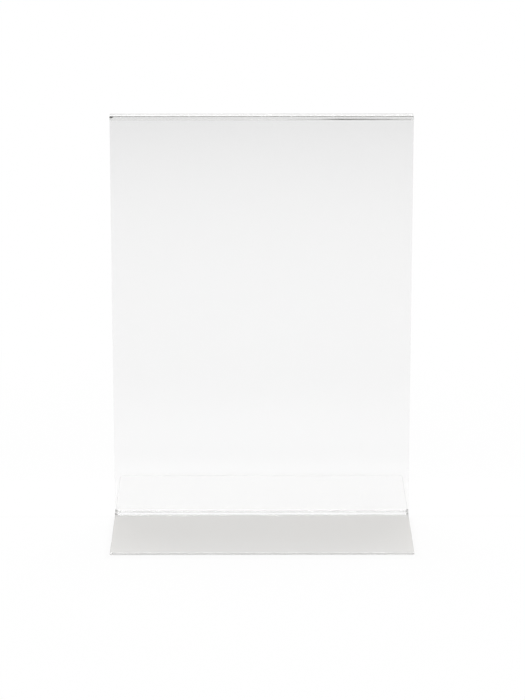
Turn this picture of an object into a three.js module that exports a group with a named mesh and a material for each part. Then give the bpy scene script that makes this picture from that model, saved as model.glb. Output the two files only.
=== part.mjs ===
// A clear table menu holder: two bent sheets stand back to back on flat feet, and a strip bonded between
// their walls closes the top of a pocket that is open below and at both sides, so that the card stands on
// the table. Millimetres, +Z up, front to -Y.
import * as THREE from "three";

// The card that the pocket takes, and the room around it.
const CARD_WIDTH = 148;
const CARD_HEIGHT = 210;
const CARD_SIDE_MARGIN = 3;
const CARD_HEADROOM = 1.2;

// The sheet, its bend and its foot. The bend radius is on the inside, above the foot.
const SHEET_THICKNESS = 1.2;
const BEND_RADIUS = 1;
const FOOT_DEPTH = 60;
const BEND_SEGMENTS = 14;
const EDGE_CHAMFER = 0.2;

// The pocket between the walls, and the strip across its top.
const POCKET_DEPTH = 4.5;
const STRIP_HEIGHT = 2.4;
const STRIP_END_INSET = 0.3;
const BOND_LINE = 0.1;

// Finish.
const CLEAR_COLOUR = 0xe9efef;
const CLEAR_ROUGHNESS = 0.06;
const CLEAR_OPACITY = 0.3;

// What follows from the sizes above.
const WIDTH = CARD_WIDTH + 2 * CARD_SIDE_MARGIN;
const BEND_TOP = SHEET_THICKNESS + BEND_RADIUS;
const POCKET_CEILING = CARD_HEIGHT + CARD_HEADROOM;
const HEIGHT = POCKET_CEILING + STRIP_HEIGHT;
const WALL_INNER_Y = POCKET_DEPTH / 2;
const WALL_OUTER_Y = WALL_INNER_Y + SHEET_THICKNESS;
const FOOT_EDGE_Y = WALL_OUTER_Y + FOOT_DEPTH;

function clearMaterial() {
  return new THREE.MeshStandardMaterial({
    color: CLEAR_COLOUR,
    roughness: CLEAR_ROUGHNESS,
    metalness: 0,
    transparent: true,
    opacity: CLEAR_OPACITY,
  });
}

// Sweeps an outline drawn in Y and Z along X, centred, with its end edges eased like the outline's own.
function sweptAlongX(outline, length) {
  const geometry = new THREE.ExtrudeGeometry(outline, {
    depth: length - 2 * EDGE_CHAMFER,
    curveSegments: BEND_SEGMENTS,
    bevelEnabled: true,
    bevelThickness: EDGE_CHAMFER,
    bevelSize: EDGE_CHAMFER,
    bevelOffset: -EDGE_CHAMFER,
    bevelSegments: 1,
  });
  geometry.translate(0, 0, EDGE_CHAMFER - length / 2);
  const yAxis = new THREE.Vector3(0, 1, 0);
  const zAxis = new THREE.Vector3(0, 0, 1);
  const xAxis = new THREE.Vector3(1, 0, 0);
  geometry.applyMatrix4(new THREE.Matrix4().makeBasis(yAxis, zAxis, xAxis));
  return geometry;
}

// The rear sheet in section: down the pocket side, round the bend, out under the foot and back on top.
function sheetOutline() {
  const c = EDGE_CHAMFER;
  const bendY = WALL_OUTER_Y + BEND_RADIUS;
  const outerRadius = BEND_RADIUS + SHEET_THICKNESS;
  const outline = new THREE.Shape();
  outline.moveTo(WALL_INNER_Y + c, HEIGHT);
  outline.lineTo(WALL_INNER_Y, HEIGHT - c);
  outline.lineTo(WALL_INNER_Y, BEND_TOP);
  outline.absarc(bendY, BEND_TOP, outerRadius, Math.PI, 1.5 * Math.PI, false);
  outline.lineTo(FOOT_EDGE_Y - c, 0);
  outline.lineTo(FOOT_EDGE_Y, c);
  outline.lineTo(FOOT_EDGE_Y, SHEET_THICKNESS - c);
  outline.lineTo(FOOT_EDGE_Y - c, SHEET_THICKNESS);
  outline.lineTo(bendY, SHEET_THICKNESS);
  outline.absarc(bendY, BEND_TOP, BEND_RADIUS, 1.5 * Math.PI, Math.PI, true);
  outline.lineTo(WALL_OUTER_Y, HEIGHT - c);
  outline.lineTo(WALL_OUTER_Y - c, HEIGHT);
  outline.closePath();
  return outline;
}

// The strip in section, thinner than the pocket by the bond on each side, with its top flush with the walls.
function stripOutline() {
  const c = EDGE_CHAMFER;
  const y = POCKET_DEPTH / 2 - BOND_LINE;
  const outline = new THREE.Shape();
  outline.moveTo(-y + c, POCKET_CEILING);
  outline.lineTo(y - c, POCKET_CEILING);
  outline.lineTo(y, POCKET_CEILING + c);
  outline.lineTo(y, HEIGHT - c);
  outline.lineTo(y - c, HEIGHT);
  outline.lineTo(-y + c, HEIGHT);
  outline.lineTo(-y, HEIGHT - c);
  outline.lineTo(-y, POCKET_CEILING + c);
  outline.closePath();
  return outline;
}

const holder = new THREE.Group();
holder.name = "menu_holder";

function addPiece(name, geometry) {
  const piece = new THREE.Mesh(geometry, clearMaterial());
  piece.name = name;
  holder.add(piece);
  return piece;
}

// One sheet serves both sides: the front one is turned half round.
const frontSheet = addPiece("front_sheet", sweptAlongX(sheetOutline(), WIDTH));
frontSheet.rotation.z = Math.PI;
addPiece("rear_sheet", sweptAlongX(sheetOutline(), WIDTH));

addPiece("top_strip", sweptAlongX(stripOutline(), WIDTH - 2 * STRIP_END_INSET));

export default holder;
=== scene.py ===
import math
import bmesh
import bpy
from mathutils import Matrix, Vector


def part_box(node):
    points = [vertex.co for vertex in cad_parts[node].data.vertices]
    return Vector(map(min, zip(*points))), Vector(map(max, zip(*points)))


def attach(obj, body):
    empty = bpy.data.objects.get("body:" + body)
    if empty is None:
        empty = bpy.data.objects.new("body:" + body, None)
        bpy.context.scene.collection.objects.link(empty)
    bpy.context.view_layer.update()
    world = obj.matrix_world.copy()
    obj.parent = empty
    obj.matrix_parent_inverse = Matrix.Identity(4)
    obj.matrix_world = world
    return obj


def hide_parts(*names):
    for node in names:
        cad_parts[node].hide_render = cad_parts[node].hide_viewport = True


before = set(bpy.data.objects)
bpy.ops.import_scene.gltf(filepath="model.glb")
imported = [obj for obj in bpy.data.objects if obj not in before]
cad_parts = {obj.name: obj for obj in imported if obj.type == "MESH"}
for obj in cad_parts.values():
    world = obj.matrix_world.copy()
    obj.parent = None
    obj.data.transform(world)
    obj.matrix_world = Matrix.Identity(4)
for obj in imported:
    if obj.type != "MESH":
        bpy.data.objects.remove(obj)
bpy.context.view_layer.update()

# Front sheet: a flat blank of clear acrylic, sawn to size with its edges eased, then warmed along one line
# and folded into an upright wall and a flat foot. The fold swells a little at its two open ends, which are
# filed and greyed with a painted dark reflection.
sheet_low, sheet_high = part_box("front_sheet")
sheet_width = sheet_high[0] - sheet_low[0]
sheet_height = sheet_high[2]
foot_tip = -sheet_low[1]
wall_inner = -sheet_high[1]
sheet_gauge = 0.0012
fold_radius = 0.001
edge_round = 0.00025
fold_swell = 0.00022
swell_reach = 0.0016
filed_painted_reach = 0.0013


class Wire:
    """A shader socket whose sums, products and powers add Math nodes."""

    def __init__(self, tree, socket=None):
        self.tree = tree
        self.socket = socket

    def make(self, kind, settings=None, inputs=None, out=0):
        """Adds a node: its settings first, then the values or links of its sockets."""
        node = self.tree.nodes.new(kind)
        for name, value in (settings or {}).items():
            if name == "interpolation":
                node.color_ramp.interpolation = value
            elif name == "stops":
                ramp = node.color_ramp.elements
                while len(ramp) < len(value):
                    ramp.new(0.5)
                for stop, (place, shade) in zip(ramp, value):
                    stop.position = place
                    stop.color = (*shade, 1)
            else:
                setattr(node, name, value)
        for key, value in (inputs or {}).items():
            if isinstance(value, Wire):
                self.tree.links.new(value.socket, node.inputs[key])
            else:
                node.inputs[key].default_value = value
        return Wire(self.tree, node.outputs[out]) if len(node.outputs) else None

    def maths(self, operation, first, second):
        return self.make("ShaderNodeMath", {"operation": operation}, {0: first, 1: second})

    def ranged(self, low, high, first, last, easing="LINEAR"):
        """Carries the range from low to high over to the range from first to last."""
        ends = {0: self, 1: low, 2: high, 3: first, 4: last}
        return self.make("ShaderNodeMapRange", {"interpolation_type": easing}, ends)

    def __add__(self, other):
        return self.maths("ADD", self, other)

    def __radd__(self, other):
        return self.maths("ADD", other, self)

    def __sub__(self, other):
        return self.maths("SUBTRACT", self, other)

    def __rsub__(self, other):
        return self.maths("SUBTRACT", other, self)

    def __mul__(self, other):
        return self.maths("MULTIPLY", self, other)

    def __rmul__(self, other):
        return self.maths("MULTIPLY", other, self)

    def __pow__(self, other):
        return self.maths("POWER", self, other)

    def __rpow__(self, other):
        return self.maths("POWER", other, self)


def new_finish(name):
    """An empty finish, and the wire that makes its nodes."""
    finish = bpy.data.materials.new(name)
    finish.use_nodes = True
    finish.node_tree.nodes.clear()
    return finish, Wire(finish.node_tree)


def blended(mat, share, one, other):
    """A colour between two, by share."""
    return mat.make("ShaderNodeMix", {"data_type": "RGBA"}, {0: share, 6: one, 7: other}, out=2)


def clear_acrylic(mat, clearness, tone, dullness, relief):
    """Clear acrylic for the eye. Light on its way to the table passes straight through, less what the faces
    mirror at a slant."""
    slant_loss = 0.55
    body = mat.make("ShaderNodeBsdfPrincipled", None, {
        "Base Color": tone,
        "Roughness": dullness,
        "IOR": 1.49,
        "Transmission Weight": clearness,
        "Normal": relief,
    })
    passed = mat.make("ShaderNodeBsdfTransparent", None, {"Color": (1, 1, 1, 1)})
    slant = mat.make("ShaderNodeLayerWeight", None, {"Blend": 0.5}, out="Facing")
    dimmed = mat.make("ShaderNodeMixShader", None, {0: slant_loss * slant ** 3, 1: passed})
    scattered_ray = mat.make("ShaderNodeLightPath", out="Is Diffuse Ray")
    body = mat.make("ShaderNodeMixShader", None, {0: scattered_ray, 1: body, 2: passed})
    shadow_ray = mat.make("ShaderNodeLightPath", out="Is Shadow Ray")
    body = mat.make("ShaderNodeMixShader", None, {0: shadow_ray, 1: body, 2: dimmed})
    mat.make("ShaderNodeOutputMaterial", None, {"Surface": body})


def polished_face(name, tint):
    """The cast face of the sheet: clear, hard and glossy, with faint wipe marks and a slow wave."""
    polish = 0.012
    wiped_haze = 0.035
    finish, mat = new_finish(name)
    place = mat.make("ShaderNodeTexCoord", out="Object")
    wiped = mat.make("ShaderNodeMapping", None, {"Vector": place, "Scale": (22, 22, 9)})
    streaks = {"Vector": wiped, "Scale": 1.0, "Detail": 4.0, "Roughness": 0.6}
    haze = mat.make("ShaderNodeTexNoise", None, streaks)
    haze = haze.ranged(0.52, 0.78, 0.0, wiped_haze)
    wave = mat.make("ShaderNodeTexNoise", None, {"Vector": place, "Scale": 26.0, "Detail": 1.0})
    ripple = mat.make("ShaderNodeBump", None, {"Strength": 0.008, "Distance": 0.0005, "Height": wave})
    clear_acrylic(mat, 1.0, tint, polish + haze, ripple)
    return finish


def sawn_edge():
    """The edge as the saw leaves it: satin, so that it scatters light and reads as a pale line."""
    finish, mat = new_finish("sawn_edge")
    place = mat.make("ShaderNodeTexCoord", out="Object")
    marks = mat.make("ShaderNodeTexNoise", None, {"Vector": place, "Scale": 700.0, "Detail": 2.0})
    ripple = mat.make("ShaderNodeBump", None, {"Strength": 0.08, "Distance": 0.0001, "Height": marks})
    tone = blended(mat, marks, (0.965, 0.965, 0.96, 1), (1.0, 1.0, 0.995, 1))
    clear_acrylic(mat, 0.3, tone, 0.25 + marks * 0.2, ripple)
    return finish


def scraped_edge_painted_reflection(name, dark, pale):
    """An edge that a scraper or a file has gone over: dull, with a grey that is a painted dark reflection."""
    finish, mat = new_finish(name)
    place = mat.make("ShaderNodeTexCoord", out="Object")
    stroke = mat.make("ShaderNodeMapping", None, {"Vector": place, "Scale": (120, 900, 900)})
    rub = mat.make("ShaderNodeTexNoise", None, {"Vector": stroke, "Scale": 1.0, "Detail": 3.0})
    ripple = mat.make("ShaderNodeBump", None, {"Strength": 0.1, "Distance": 0.0001, "Height": rub})
    painted_grey = blended(mat, rub, dark, pale)
    clear_acrylic(mat, 0.2, painted_grey, 0.4 + rub * 0.2, ripple)
    return finish


face_slot = 0
edge_slot = 1
corner_slot = 2
filed_painted_reflection_slot = 3
face_finish = polished_face("polished_face", (1, 1, 1, 1))
edge_finish = sawn_edge()
# The wall's top and its corners: grey as a painted dark reflection.
corner_painted_reflection_finish = scraped_edge_painted_reflection("scraped_corner_painted_reflection", (0.33, 0.33, 0.32, 1), (0.4, 0.4, 0.39, 1))
# The fold's filed ends: grey as a painted dark reflection.
filed_painted_reflection_finish = scraped_edge_painted_reflection("filed_fold_end_painted_reflection", (0.56, 0.56, 0.55, 1), (0.66, 0.66, 0.65, 1))


def slab(name, size, ease, along, across, fold, sawn, patches, finishes):
    """A sheet or bar of this length, gauge and width with its edges rounded by ease. along and across are the
    stations of its length and of half its width measured from an end, fold places a point of the flat blank
    and gives its frame, sawn tells whether the first and last ends are sawn, and patches are rules on place
    and facing for faces with another finish."""
    length, gauge, width = size
    corner_steps = 4
    turns = [i * math.pi / 2 / corner_steps for i in range(corner_steps + 1)]
    flank = width / 2 - ease
    half = sorted((flank - step, 0.0) for step in across)
    half += [(flank + ease * math.sin(a), a) for a in turns]
    stations = [(-x, -a) for x, a in reversed(half)] + half
    bm = bmesh.new()
    lean = bm.verts.layers.float_vector.new("lean")
    loops = []
    for x, a in stations:
        inset = ease * (1 - math.cos(a))
        turn = ease - inset
        under = [(min(max(u, ease), length - ease), inset, 0.0, -1.0) for u in along]
        over = [(u, gauge - inset, 0.0, 1.0) for u, _, _, _ in reversed(under)]
        tip = []
        for t in turns[1:]:
            u = length - ease + turn * math.sin(t)
            w = inset + turn * (1 - math.cos(t))
            tip.append((u, w, math.sin(t), -math.cos(t)))
        tip += [(u, gauge - w, nu, -nw) for u, w, nu, nw in reversed(tip)]
        tail = [(length - u, gauge - w, -nu, -nw) for u, w, nu, nw in tip]
        loop = []
        for u, w, nu, nw in under + tip + over + tail:
            spot, run, out, side = fold(u, w, x)
            v = bm.verts.new(spot)
            v[lean] = ((run * nu + out * nw) * math.cos(a) + side * math.sin(a)).normalized()
            loop.append(v)
        loops.append(loop)
    around = len(loops[0])
    tip_flat = len(along) + corner_steps - 1
    tail_start = 2 * (len(along) + corner_steps) - 1
    for k in range(len(loops) - 1):
        rounded = abs(stations[k][1]) > 0 or abs(stations[k + 1][1]) > 0
        for i in range(around):
            j = (i + 1) % around
            face = bm.faces.new((loops[k][i], loops[k][j], loops[k + 1][j], loops[k + 1][i]))
            cut = (i >= tail_start and sawn[0]) or (i == tip_flat and sawn[1])
            face.material_index = edge_slot if cut and not rounded else face_slot
            face.smooth = True
    for loop, order in ((loops[0], 1), (loops[-1], -1)):
        for i in range(len(along) - 1):
            above = tail_start - i
            face = bm.faces.new((loop[i], loop[above], loop[above - 1], loop[i + 1])[::order])
            face.material_index = edge_slot
            face.smooth = True
    bmesh.ops.remove_doubles(bm, verts=bm.verts, dist=1e-8)
    bmesh.ops.recalc_face_normals(bm, faces=bm.faces)
    for face in bm.faces:
        for rule, finish in patches:
            if rule(face.calc_center_median(), face.normal):
                face.material_index = finish
    normals = [tuple(v[lean]) for v in bm.verts]
    mesh = bpy.data.meshes.new(name)
    bm.to_mesh(mesh)
    bm.free()
    mesh.normals_split_custom_set_from_vertices(normals)
    for finish in finishes:
        mesh.materials.append(finish)
    piece = bpy.data.objects.new(name, mesh)
    bpy.context.collection.objects.link(piece)
    return piece


fold_top = sheet_gauge + fold_radius
fold_y = wall_inner + fold_top
foot_run = foot_tip - fold_y
fold_run = (fold_radius + sheet_gauge / 2) * math.pi / 2
wall_start = foot_run + fold_run
blank_size = (wall_start + sheet_height - fold_top, sheet_gauge, sheet_width)
# Stations along the blank: few on the foot, many through the fold, and close ones at the wall's top.
foot_steps = 6
fold_steps = 28
blank_stations = [foot_run * i / foot_steps for i in range(foot_steps)]
blank_stations += [foot_run + fold_run * i / fold_steps for i in range(fold_steps + 1)]
wall_heights = [0.01, 0.03, 0.06, 0.09, 0.12, 0.15, 0.18, 0.21]
wall_heights += [sheet_height - drop for drop in (0.0008, 0.0005, 0.0)]
blank_stations += [wall_start + height - fold_top for height in wall_heights]
# Stations in from the sheet's two ends, close together where the fold swells.
swell_stations = [0.00015 * i for i in range(9)]
end_stations = swell_stations + [0.0015, 0.002, 0.0028, 0.004, 0.006, 0.01, 0.02, 0.045]


def folded(facing):
    """Where a point of the blank goes: u from the foot's tip to the wall's top, w through the gauge."""

    def place(u, w, x):
        turn = min(max((u - foot_run) / fold_run, 0), 1) * math.pi / 2
        run = Vector((0, -math.cos(turn), math.sin(turn)))
        out = Vector((0, math.sin(turn), math.cos(turn)))
        end = (sheet_width / 2 - abs(x)) / swell_reach
        swell = fold_swell * math.sin(2 * turn) ** 2 * math.exp(-end * end) * w / sheet_gauge
        slope = swell * 2 * end / swell_reach * (1 if x > 0 else -1)
        if u <= foot_run:
            spot = Vector((x, foot_tip - u, w))
        elif turn < math.pi / 2:
            spot = Vector((x, fold_y, fold_top)) - out * (fold_top - w - swell)
        else:
            spot = Vector((x, wall_inner + w, fold_top + u - wall_start))
        side = Vector((1, 0, 0))
        out = (out - side * slope).normalized()
        if facing < 0:
            spot, run, out, side = (Vector((-v.x, -v.y, v.z)) for v in (spot, run, out, side))
        return spot, run, out, side

    return place


def wall_top(spot, facing):
    """The wall's top with both its corners, which carry a painted dark reflection."""
    return spot.z > sheet_height - edge_round and facing.z > 0.1


def filed_fold_painted_reflection(spot, facing):
    """The two ends of the fold, filed flush where they swelled and greyed with a painted dark reflection."""
    turn = math.atan2(fold_y - abs(spot.y), fold_top - spot.z)
    in_fold = spot.z < fold_top and abs(spot.y) < fold_y
    return in_fold and sheet_width / 2 - abs(spot.x) < filed_painted_reach * math.sin(2 * turn)


def folded_sheet(name, facing):
    patches = [(wall_top, corner_slot), (filed_fold_painted_reflection, filed_painted_reflection_slot)]
    finishes = (face_finish, edge_finish, corner_painted_reflection_finish, filed_painted_reflection_finish)
    return slab(name, blank_size, edge_round, blank_stations, end_stations, folded(facing), (True, True),
                patches, finishes)


front_sheet = folded_sheet("front_sheet_clear", -1)
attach(front_sheet, "root")
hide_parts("front_sheet")

# Rear sheet: the same folded sheet of clear acrylic, set back to back with the front one, so that its foot
# runs to the rear. Its fold and the far edge of its foot show through both walls.
rear_sheet = folded_sheet("rear_sheet_clear", 1)
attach(rear_sheet, "root")
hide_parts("rear_sheet")

# Top strip: a square-cut bar of the same acrylic, bonded between the walls flush with their top edges.
# It closes the pocket above and sets the walls apart. The bond leaves its faces a little less clear.
strip_low, strip_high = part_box("top_strip")
strip_length = strip_high[0] - strip_low[0]
strip_depth = strip_high[1] - strip_low[1]
strip_height = strip_high[2] - strip_low[2]
strip_round = 0.00002
strip_steps = 4
strip_stations = [strip_height * i / strip_steps for i in range(strip_steps + 1)]
strip_ends = [0.0, 0.0005, 0.002, 0.01, 0.04]
bonded_finish = polished_face("bonded_face", (0.94, 0.94, 0.935, 1))


def on_edge(u, w, x):
    """The strip stands on edge: u runs up, w runs from the front wall to the rear one."""
    spot = Vector((x, w - strip_depth / 2, strip_low[2] + u))
    return spot, Vector((0, 0, 1)), Vector((0, 1, 0)), Vector((1, 0, 0))


top_strip = slab("top_strip_clear", (strip_height, strip_depth, strip_length), strip_round, strip_stations,
                 strip_ends, on_edge, (False, True), [], (bonded_finish, edge_finish))
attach(top_strip, "root")
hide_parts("top_strip")

# Cement marks: solvent cement is run into the joint between the top strip and the front wall. It shows in two
# places, in a thread along the strip's lower edge and in a spot at its left end, with a smear over the front
# sheet's corner there. Their near-black is a painted dark reflection.
film_clear = 0.00001
film_front = -wall_inner + film_clear
film_back = -strip_depth / 2 - film_clear
thread_height = strip_low[2] + 0.0007
thread_cuts = 8
# Each point of the thread is its place along the joint and the height of the film there.
thread_line = [
    (0.012, 0.00002),
    (0.03, 0.00015),
    (0.035, 0.00036),
    (0.041, 0.0005),
    (0.058, 0.00034),
    (0.07, 0.00014),
    (0.0764, 0.00013),
]
spot_left = -0.0769
spot_length = 0.0022
spot_tall = 0.0008
spot_thin = 0.00005
spot_drop = 0.0003
spot_cuts = 16
smear_end = -0.0752
smear_drop = 0.0008


# The cement's near-black finish is a painted dark reflection.
def cement_painted_dark_reflection():
    finish, mat = new_finish("cement_painted_dark_reflection")
    place = mat.make("ShaderNodeTexCoord", out="Object")
    skin = mat.make("ShaderNodeTexNoise", None, {"Vector": place, "Scale": 400.0, "Detail": 3.0})
    ripple = mat.make("ShaderNodeBump", None, {"Strength": 0.3, "Distance": 0.0001, "Height": skin})
    tone = blended(mat, skin, (0.09, 0.09, 0.085, 1), (0.2, 0.2, 0.19, 1))
    painted_dark_coat = {"Base Color": tone, "Roughness": 0.35 + skin * 0.2, "Normal": ripple}
    painted_dark_coat = mat.make("ShaderNodeBsdfPrincipled", None, painted_dark_coat)
    mat.make("ShaderNodeOutputMaterial", None, {"Surface": painted_dark_coat})
    return finish


thread = []
for (x0, tall0), (x1, tall1) in zip(thread_line, thread_line[1:]):
    for i in range(thread_cuts):
        share = i / thread_cuts
        tall = tall0 + (tall1 - tall0) * share
        thread.append((x0 + (x1 - x0) * share, tall, thread_height - tall / 2))
spot = []
for i in range(spot_cuts + 1):
    share = i / spot_cuts
    tall = spot_thin + spot_tall * math.cos(share * math.pi / 2)
    spot.append((spot_left + spot_length * share, tall, sheet_height - spot_drop - tall))
bm = bmesh.new()
for mark in (thread, spot):
    rings = []
    for x, tall, z in mark:
        section = ((film_front, z), (film_back, z), (film_back, z + tall), (film_front, z + tall))
        rings.append([bm.verts.new((x, y, up)) for y, up in section])
    for one, two in zip(rings, rings[1:]):
        for i in range(4):
            j = (i + 1) % 4
            bm.faces.new((one[i], one[j], two[j], two[i]))
    bm.faces.new(rings[0])
    bm.faces.new(rings[-1][::-1])
bmesh.ops.recalc_face_normals(bm, faces=bm.faces)
cement_mesh = bpy.data.meshes.new("cement_marks_painted_reflection")
bm.to_mesh(cement_mesh)
bm.free()
cement_painted_reflection_finish = cement_painted_dark_reflection()
cement_mesh.materials.append(cement_painted_reflection_finish)
cement_marks_painted_reflection = bpy.data.objects.new("cement_marks_painted_reflection", cement_mesh)
bpy.context.collection.objects.link(cement_marks_painted_reflection)
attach(cement_marks_painted_reflection, "root")
# The smear over the front sheet's corner takes the same painted dark reflection.
smear_slot = len(front_sheet.data.materials)
front_sheet.data.materials.append(cement_painted_reflection_finish)
for face in front_sheet.data.polygons:
    left = (smear_end - face.center.x) / (smear_end + sheet_width / 2)
    if left > 0 and face.center.z > sheet_height - smear_drop * left and face.normal.y < 0.2:
        face.material_index = smear_slot

# Table top: a white surface, a hair below the feet. The camera sees it run out to white. Rays through
# the acrylic or mirrored in it get a share of that white, and otherwise the lit surface, whose colour holds a
# painted shade under the front foot and a painted falloff of light towards the back.
table_reach = 6.0
table_gap = 0.0002
table_near = -0.41
table_far = 1.23
white_share = 0.2
open_tone = (0.96, 0.96, 0.96)
# Painted shade under the front foot, lighter towards its tip.
painted_shade_tip = (0.707, 0.695, 0.67)
painted_shade = (0.636, 0.62, 0.59)
shade_side = 0.0775
shade_fade = 0.003
shade_back = -0.00443
shade_end = -0.00246
# Each tone is given by its place from front to back. Darker tones are painted shade and painted light
# falloff.
painted_table_tones = [
    (-0.164, open_tone),
    (-0.07003, open_tone),
    (-0.06593, painted_shade_tip),
    (-0.02952, painted_shade),
    (-0.00558, painted_shade),
    (shade_back, (0.97, 0.97, 0.97)),
    (0.05412, (0.965, 0.965, 0.965)),
    (0.0656, (0.906, 0.906, 0.906)),
    (0.1148, (0.85, 0.85, 0.85)),
    (0.2788, (0.8, 0.8, 0.8)),
    (0.5084, (0.8, 0.8, 0.8)),
    (0.9184, (0.81, 0.81, 0.81)),
    (table_far, (0.805, 0.805, 0.805)),
]
painted_table_stops = [((y - table_near) / (table_far - table_near), tone) for y, tone in painted_table_tones]
table_mesh = bpy.data.meshes.new("table_top")
table_corners = [(x * table_reach, y * table_reach, 0) for x, y in ((-1, -1), (1, -1), (1, 1), (-1, 1))]
table_mesh.from_pydata(table_corners, [], [(0, 1, 2, 3)])
table_top = bpy.data.objects.new("table_top", table_mesh)
table_top.location.z = -table_gap
bpy.context.collection.objects.link(table_top)
table_finish, mat = new_finish("white_table_painted_shade")
place = mat.make("ShaderNodeTexCoord", out="Object")
away = mat.make("ShaderNodeVectorMath", {"operation": "LENGTH"}, {0: place}, out="Value")
bare = away.ranged(0.1, 0.35, 0.92, 1.0, "SMOOTHSTEP")
seen = mat.make("ShaderNodeLightPath", out="Is Camera Ray")
mirrored = mat.make("ShaderNodeLightPath", out="Is Glossy Ray")
passed = mat.make("ShaderNodeLightPath", out="Is Transmission Ray")
shown = mat.maths("MAXIMUM", mirrored, passed)
depth = mat.make("ShaderNodeSeparateXYZ", None, {0: place}, out="Y")
tone = mat.make("ShaderNodeValToRGB", {"interpolation": "EASE", "stops": painted_table_stops},
                {0: depth.ranged(table_near, table_far, 0.0, 1.0)})
aside = mat.make("ShaderNodeSeparateXYZ", None, {0: place}, out="X")
aside = mat.make("ShaderNodeMath", {"operation": "ABSOLUTE"}, {0: aside})
# Beside the foot the painted shade gives way to the open tone.
beside_foot = aside.ranged(shade_side, shade_side + shade_fade, 0.0, 1.0, "SMOOTHSTEP")
in_front = depth.ranged(shade_back, shade_end, 1.0, 0.0)
tone = blended(mat, beside_foot * in_front, tone, (*open_tone, 1))
lit = mat.make("ShaderNodeBsdfDiffuse", None, {"Color": tone})
white = mat.make("ShaderNodeEmission", None, {"Color": (1, 1, 1, 1), "Strength": 1.0})
whiteness = seen * bare + (1 - seen) * shown * white_share
surface = mat.make("ShaderNodeMixShader", None, {0: whiteness, 1: lit, 2: white})
mat.make("ShaderNodeOutputMaterial", None, {"Surface": surface})
table_mesh.materials.append(table_finish)

# Studio light: a soft box high behind the holder, a weaker one in front, and pale surroundings that dim
# towards the ceiling, low down and behind the camera.
key_power = 16.4
fill_power = 4.0
room_light = 0.42


def soft_box(name, spot, size, power):
    """A soft box that is aimed at the middle of the table."""
    lamp = bpy.data.lights.new(name, "AREA")
    lamp.shape = "RECTANGLE"
    lamp.size, lamp.size_y = size
    lamp.energy = power
    box = bpy.data.objects.new(name, lamp)
    box.location = spot
    box.rotation_euler = (-Vector(spot)).to_track_quat("-Z", "Y").to_euler()
    bpy.context.collection.objects.link(box)


soft_box("key_box", (0.0, 0.6, 1.5), (0.9, 0.5), key_power)
soft_box("fill_box", (0.0, -1.3, 1.1), (1.0, 0.7), fill_power)
world = bpy.data.worlds.new("studio")
bpy.context.scene.world = world
world.use_nodes = True
world.node_tree.nodes.clear()
sky = Wire(world.node_tree)
way = sky.make("ShaderNodeTexCoord", out="Generated")
rise = sky.make("ShaderNodeSeparateXYZ", None, {0: way}, out="Z")
back = sky.make("ShaderNodeSeparateXYZ", None, {0: way}, out="Y")
screen = rise.ranged(0.12, 0.27, 0.65, 0.97, "SMOOTHSTEP")
ceiling = rise.ranged(0.5, 0.9, 1.0, 0.5, "SMOOTHSTEP")
behind = back.ranged(-0.3, 0.5, 0.7, 1.0, "SMOOTHSTEP")
room = screen * ceiling * behind
seen = sky.make("ShaderNodeLightPath", out="Is Camera Ray")
mirrored = sky.make("ShaderNodeLightPath", out="Is Glossy Ray")
passed = sky.make("ShaderNodeLightPath", out="Is Transmission Ray")
shown = sky.maths("MAXIMUM", mirrored, passed)
strength = seen + (1 - seen) * (shown * room + (1 - shown) * room_light)
glow = sky.make("ShaderNodeBackground", None, {"Color": (1, 1, 1, 1), "Strength": strength})
sky.make("ShaderNodeOutputWorld", None, {"Surface": glow})

# Camera: a long lens a little above the holder, looking down at its middle. The sheets carry light along to
# their sawn edges, so a ray may bounce many times before it leaves them.
picture_height = 700.0
lens_pixels = 2991.7
sensor_size = 36.0
looks_down = math.radians(15.685)
looks_right = math.radians(0.208)
most_bounces = 160
view = bpy.data.cameras.new("view")
view.sensor_width = sensor_size
view.lens = lens_pixels * sensor_size / picture_height
view.clip_end = 50.0
camera = bpy.data.objects.new("view", view)
camera.location = (-0.0050, -1.4921, 0.5089)
camera.rotation_euler = (math.pi / 2 - looks_down, 0, -looks_right)
bpy.context.collection.objects.link(camera)
bpy.context.scene.camera = camera
bpy.context.scene.view_settings.view_transform = "Standard"
bpy.context.scene.cycles.max_bounces = most_bounces
bpy.context.scene.cycles.glossy_bounces = most_bounces
bpy.context.scene.cycles.transmission_bounces = most_bounces
bpy.context.scene.cycles.transparent_max_bounces = most_bounces
